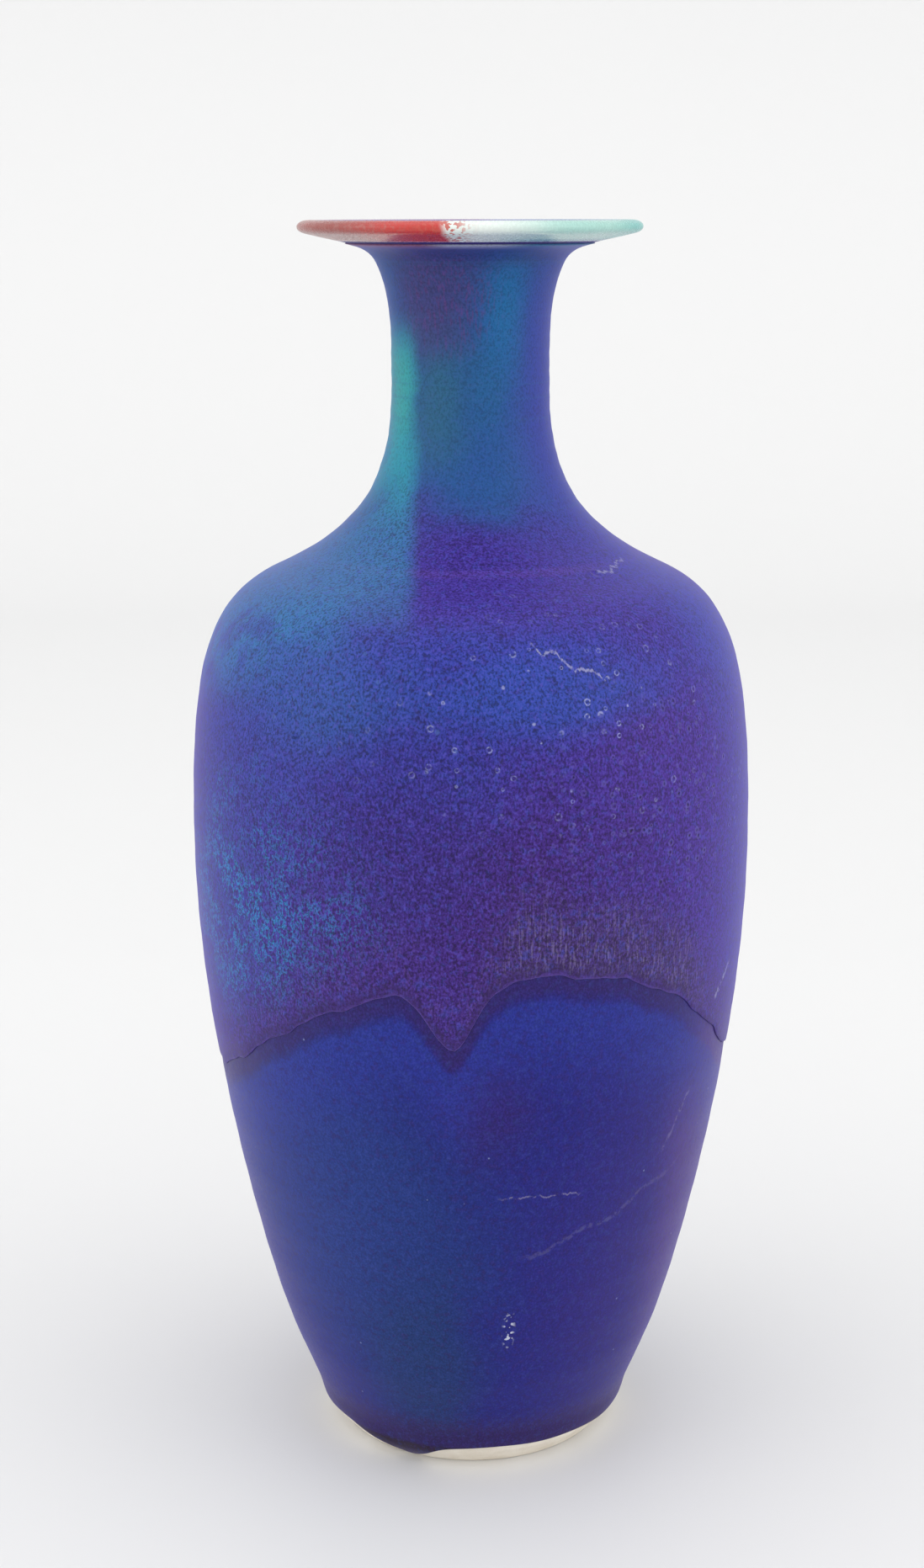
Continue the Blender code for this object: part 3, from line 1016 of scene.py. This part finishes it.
# blue glaze
blueGlaze = {
    "royal": (0.009, 0.011, 0.215),
    "roughness": (0.38, 0.5),
    "glow": (0.018, 0.035, 0.33),  # a brighter blue a little below the violet coat
    "glowAt": (-36, -9, -7, -4),
    "shadow": (0.025, 0.01, 0.13),  # right under the violet coat
    "shadowAt": (-7, -1.8),
    "foot": (0.03, 0.01, 0.09),
    "footTo": (10, 20),
    "brown": (0.02, 0.008, 0.012),  # where the coat is thinnest
    "brownTo": (6.2, 7.4),
    "bright": (0.028, 0.05, 0.27),
    "deep": (0.026, 0.008, 0.12),
    "fine": (0.06, 0.06, 0.3),
    "dust": (0.25, 0.3, 0.5),
    "chips": (0.55, 0.58, 0.72),
    "chipsAt": (9.5, 47, 1.4, 5, 0.5, 0.12),
    "hairLine": (0.24, 0.22, 0.36),
    "clouds": (
        (-20, 66, 24, 46, 0.7, 0.4, 0.8, (0.006, 0.034, 0.2)),
        (-14, 34, 15, 24, 0.6, 0.4, 0.7, (0.004, 0.036, 0.15)),
        (-42, 90, 24, 50, 0.6, 0.4, 0.6, (0.012, 0.045, 0.26)),
        (52, 60, 30, 60, 0.7, 0.3, 0.6, (0.03, 0.01, 0.2)),
        (4, 110, 8, 12, 0.8, 0.5, 0.7, (0.026, 0.008, 0.16)),
        (70, 90, 19, 60, 0.45, 0.25, 0.85, (0.065, 0.02, 0.23)),
        (150, 70, 34, 40, 0.7, 0.4, 0.6, (0.008, 0.04, 0.21)),
        (-120, 60, 30, 40, 0.7, 0.4, 0.6, (0.022, 0.012, 0.21)),
    ),
    "hairLines": (
        (5, 26, 87, 86, 6, 0.35, 0.5, 2),
        (10, 58, 68, 87, 9, 1, 0.15, 4),
        (47, 56, 90, 108, 8, 1.2, 0.3, 7),
        (120, 150, 60, 72, 6, 0.5, 0.35, 9),
    ),
}


def makeBlueGlaze():
    look = blueGlaze
    material, tree, shader = startMaterial("blueGlaze", specular=0.2, sheen=0.22)
    place = useGroup(tree, potPlace)
    height, angle = place["Height"], place["Angle"]
    speck = useGroup(tree, glazeSpeckle, Grain=0.5)
    coarse, fine = speck["Coarse"], speck["Fine"]
    reach = raggedReach(tree, 2.4)
    colour = layClouds(tree, look["royal"], look["clouds"])
    colour = paint(colour, look["glow"], band(reach, *look["glowAt"]), 0.6)
    side = ramp(angle, 44, 56, 1, 0.1)
    side = calc("MAXIMUM", side, ramp(angle, 100, 120))
    shadow = ramp(reach, *look["shadowAt"], 0, 0.85)
    colour = paint(colour, look["shadow"], shadow, side)
    # darker speckled band above the foot
    runs = times(minus(speck["Streak"], 0.5), 14)
    low = ramp(plus(height, runs), *look["footTo"], 0.8, 0)
    colour = tint(low, colour, look["foot"])
    colour = tint(ramp(height, *look["brownTo"], 0.92, 0), colour, look["brown"])
    # mottling and grain
    colour = tint(ramp(coarse, 0.5, 0.68, 0, 0.3), colour, look["bright"])
    colour = tint(ramp(coarse, 0.5, 0.32, 0, 0.4), colour, look["deep"])
    colour = tint(ramp(fine, 0.56, 0.74, 0, 0.25), colour, look["fine"])
    colour = scaled(colour, ramp(fine, 0.34, 0.62, 0.6, 0.92))
    # pale dust, chips and scratches
    dust = useGroup(tree, pinholes, Cell=3, Size=0.5, Share=0.05, Seed=11)["Hole"]
    colour = paint(colour, look["dust"], dust, 0.5)
    bits = ramp(potNoise(tree, 0.9, 1, shift=(1, 2, 3)), 0.54, 0.6)
    chips = times(cloudMask(tree, *look["chipsAt"], 1), bits)
    colour = paint(colour, look["chips"], chips, 0.85)
    colour = layHairLines(tree, colour, look["hairLines"], look["hairLine"])
    rough = ramp(fine, 0.3, 0.7, *look["roughness"])
    rough = plus(rough, times(chips, 0.3))
    relief = plus(times(fine, 0.25), times(coarse, 0.3))
    finishMaterial(tree, shader, colour, minus(relief, chips), 0.08 * mm, rough)
    return material


# lip glaze: white and pale green, with copper red on one side
lipGlaze = {
    "white": (0.72, 0.78, 0.74),
    "roughness": (0.2, 0.32),
    "spatter": (0.5, 0.07, 0.05),
    "spatterAt": (-9, 318, 8, 80, 0.6, 0.2),
    "dusty": (0.45, 0.25, 0.22),
    "redAt": (-60, 318, 40, 80, 0.2, 0.15),
    "under": (0.03, 0.2, 0.3),  # its underside on the right
    "ending": (0.5, 0.45, 0.7),  # the pale line where it ends
    "inside": (0.1, 0.1, 0.4),
    "clouds": (
        (58, 318, 40, 80, 0.4, 0.15, 0.9, (0.3, 0.56, 0.5)),
        (86, 318, 24, 80, 0.5, 0.15, 0.9, (0.1, 0.42, 0.4)),
        (130, 318, 30, 80, 0.6, 0.2, 0.6, (0.3, 0.56, 0.5)),
        (-52, 318, 44, 80, 0.04, 0.06, 1, (0.5, 0.035, 0.028)),
        (-82, 318, 44, 80, 0.35, 0.15, 0.85, (0.26, 0.08, 0.07)),
        (-150, 318, 34, 80, 0.2, 0.3, 0.9, (0.36, 0.06, 0.05)),
    ),
}


def makeLipGlaze():
    look = lipGlaze
    material, tree, shader = startMaterial("lipGlaze")
    place = useGroup(tree, potPlace)
    height, radius = place["Height"], place["Radius"]
    speck = useGroup(tree, glazeSpeckle, Grain=0.7)
    fine = speck["Fine"]
    colour = layClouds(tree, look["white"], look["clouds"])
    # spatter where the red breaks into the white, and dusty specks over the red
    spots = ramp(potNoise(tree, 1, 1, shift=(4, 4, 1)), 0.52, 0.56, 0, 0.9)
    lot = cloudMask(tree, *look["spatterAt"], 5)
    colour = paint(colour, look["spatter"], spots, lot)
    dusty, lot = ramp(fine, 0.5, 0.4, 0, 0.25), cloudMask(tree, *look["redAt"], 3)
    colour = paint(colour, look["dusty"], dusty, lot)
    # the band ends in a pale line, and its underside darkens to teal on the right
    right, low = ramp(place["Angle"], 4, 40), ramp(height, 315.2, 315.9, 0.7, 0)
    colour = paint(colour, look["under"], right, low)
    ending, low = ramp(radius, 33.2, 34.2, 0.6, 0), ramp(height, 316, 317, 1, 0)
    colour = paint(colour, look["ending"], ending, low)
    # inside, it fades into the violet liner
    inside, high = ramp(radius, 39.2, 40, 0.85, 0), ramp(height, 318.4, 318.8)
    colour = paint(colour, look["inside"], inside, high)
    colour = scaled(colour, ramp(fine, 0.3, 0.7, 0.97, 1.04))
    rough = ramp(fine, 0.3, 0.7, *look["roughness"])
    finishMaterial(tree, shader, colour, times(speck["Coarse"], 0.5), 0.04 * mm, rough)
    return material


# liner glaze
linerGlaze = {
    "roughness": 0.32,
    "mottle": ((0.035, 0.03, 0.18), (0.05, 0.07, 0.3)),
    "mouth": (0.4, 0.42, 0.6),
    "mouthFrom": (317.8, 319.2),
}


def makeLinerGlaze():
    look = linerGlaze
    material, tree, shader = startMaterial("linerGlaze", look["roughness"])
    height = useGroup(tree, potPlace)["Height"]
    coarse = useGroup(tree, glazeSpeckle, Grain=0.8)["Coarse"]
    colour = tint(ramp(coarse, 0.35, 0.65), *look["mottle"])
    mouth = ramp(height, *look["mouthFrom"], 0, 0.5)
    colour = tint(mouth, colour, look["mouth"])
    finishMaterial(tree, shader, colour, coarse, 0.05 * mm)
    return material


# clay
clays = {  # colour, shade, roughness
    "bareClay": ((0.86, 0.8, 0.7), (0.76, 0.69, 0.58), 0.8),
    "potClay": ((0.5, 0.43, 0.33), (0.42, 0.35, 0.25), 0.85),
    "joiningSlip": ((0.42, 0.36, 0.27), (0.36, 0.3, 0.22), 0.9),
}
clayNodes = {
    "body_wall": "potClay",
    "neck_section": "potClay",
    "shoulder_slip_joint": "joiningSlip",
    "foot_slip_joint": "joiningSlip",
}
claySpecks = (0.12, 0.08, 0.05)


def makeClay(name, colour, shade, rough):
    material, tree, shader = startMaterial(name, rough)
    mottled = tint(ramp(potNoise(tree, 0.12, 3), 0.35, 0.65), colour, shade)
    specks = useGroup(tree, pinholes, Cell=2.2, Size=0.25, Share=0.15, Seed=3)["Hole"]
    mottled = paint(mottled, claySpecks, specks, 0.7)
    grit = potNoise(tree, 1.6, 3, 0.7)
    turned = potNoise(tree, 1.4, 2, stretch=(0.05, 0.05, 1))
    finishMaterial(tree, shader, mottled, plus(grit, turned), 0.08 * mm)
    return material


def dress(piece, material):
    piece.data.materials.clear()
    piece.data.materials.append(material)


dress(violetGlazeCoat, makeVioletGlaze())
dress(blueGlazeCoat, makeBlueGlaze())
dress(lipGlazeBand, makeLipGlaze())
dress(linerGlazeCoat, makeLinerGlaze())
fired = {name: makeClay(name, *look) for name, look in clays.items()}
dress(footRing, fired["bareClay"])
for nodeName, clay in clayNodes.items():
    dress(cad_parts[nodeName], fired[clay])
print("glazes mixed")


# floor, backdrop, light and camera
studio = {
    "width": 10,
    "front": -5,
    "back": 1.3,
    "bend": 0.6,
    "bendSteps": 24,
    "wall": 3.2,
    "tableEdge": (0.37, 0.42),
    "table": (0.77, 0.77, 0.77),
    "beyond": (0.765, 0.765, 0.765),
    "roughness": 0.55,
    "air": 1.17,
    "softboxes": {  # place, aim, size, power
        "topSoftbox": ((0, 0.1, 1.9), (0, 0.1, 0), (2.4, 1.2), 4.5),
        "leftSoftbox": ((-1.7, -0.7, 0.8), (0, 0, 0.16), (1.2, 1.6), 4.8),
        "rightSoftbox": ((1.7, -0.7, 0.8), (0, 0, 0.16), (1.2, 1.6), 4.8),
    },
}


def buildSweep():
    standClear()
    bpy.ops.mesh.primitive_plane_add(size=1, location=(0, 0, 0))
    sweep = bpy.context.object
    sweep.name = "studioSweep"
    bpy.ops.object.mode_set(mode="EDIT")
    bpy.ops.transform.resize(value=(studio["width"], studio["back"] - studio["front"], 1))
    bpy.ops.transform.translate(value=(0, (studio["back"] + studio["front"]) / 2, 0))
    bpy.ops.mesh.select_mode(type="EDGE")
    bpy.ops.mesh.select_all(action="DESELECT")
    bpy.ops.object.mode_set(mode="OBJECT")
    for edge in sweep.data.edges:
        ends = [sweep.data.vertices[index].co.y for index in edge.vertices]
        edge.select = min(ends) > studio["back"] - 0.01
    bpy.ops.object.mode_set(mode="EDIT")
    lift, steps = studio["bend"], studio["bendSteps"]
    for step in range(steps):
        low, high = (math.pi / 2 * (step + k) / steps for k in (0, 1))
        move = (0, lift * (math.sin(high) - math.sin(low)), lift * (math.cos(low) - math.cos(high)))
        bpy.ops.mesh.extrude_region_move(TRANSFORM_OT_translate={"value": move})
    bpy.ops.mesh.extrude_region_move(TRANSFORM_OT_translate={"value": (0, 0, studio["wall"])})
    bpy.ops.object.mode_set(mode="OBJECT")
    bpy.ops.object.shade_smooth()
    material, tree, shader = startMaterial("paleFloor", studio["roughness"])
    parts = addNode(tree, "ShaderNodeSeparateXYZ")
    feed(parts.inputs[0], objectVector(tree))
    far = ramp(parts.outputs[1], *studio["tableEdge"])
    feed(shader.inputs["Base Color"], tint(far, studio["table"], studio["beyond"]))
    dress(sweep, material)


def addSoftbox(name, place, target, size, power):
    standClear()
    bpy.ops.object.light_add(type="AREA", location=place)
    lamp = bpy.context.object
    lamp.name = name
    lamp.data.shape = "RECTANGLE"
    lamp.data.size, lamp.data.size_y = size
    lamp.data.energy = power
    away = Vector(place) - Vector(target)
    lamp.rotation_euler = away.to_track_quat("Z", "Y").to_euler()


buildSweep()
for lampName, settings in studio["softboxes"].items():
    addSoftbox(lampName, *settings)
world = bpy.data.worlds.new("studioAir")
world.use_nodes = True
world.node_tree.nodes["Background"].inputs[0].default_value = (1, 1, 1, 1)
world.node_tree.nodes["Background"].inputs[1].default_value = studio["air"]
bpy.context.scene.world = world

view = {
    "distance": 608 * mm,
    "height": 322.6 * mm,
    "lookDown": 13.56,
    "roll": -0.13,
    "lens": 54.74,
    "shift": -0.0059,
}
standClear()
bpy.ops.object.camera_add(location=(0, -view["distance"], view["height"]))
camera = bpy.context.object
camera.name = "viewCamera"
camera.data.sensor_fit = "VERTICAL"
camera.data.sensor_height = 36
camera.data.lens = view["lens"]
camera.data.shift_x = view["shift"]
camera.data.clip_start = 0.01
tilt = Matrix.Rotation(math.radians(90 - view["lookDown"]), 4, "X")
tilt = tilt @ Matrix.Rotation(math.radians(view["roll"]), 4, "Z")
camera.rotation_euler = tilt.to_euler()
bpy.context.scene.camera = camera
bpy.context.scene.view_settings.view_transform = "Standard"
standClear()
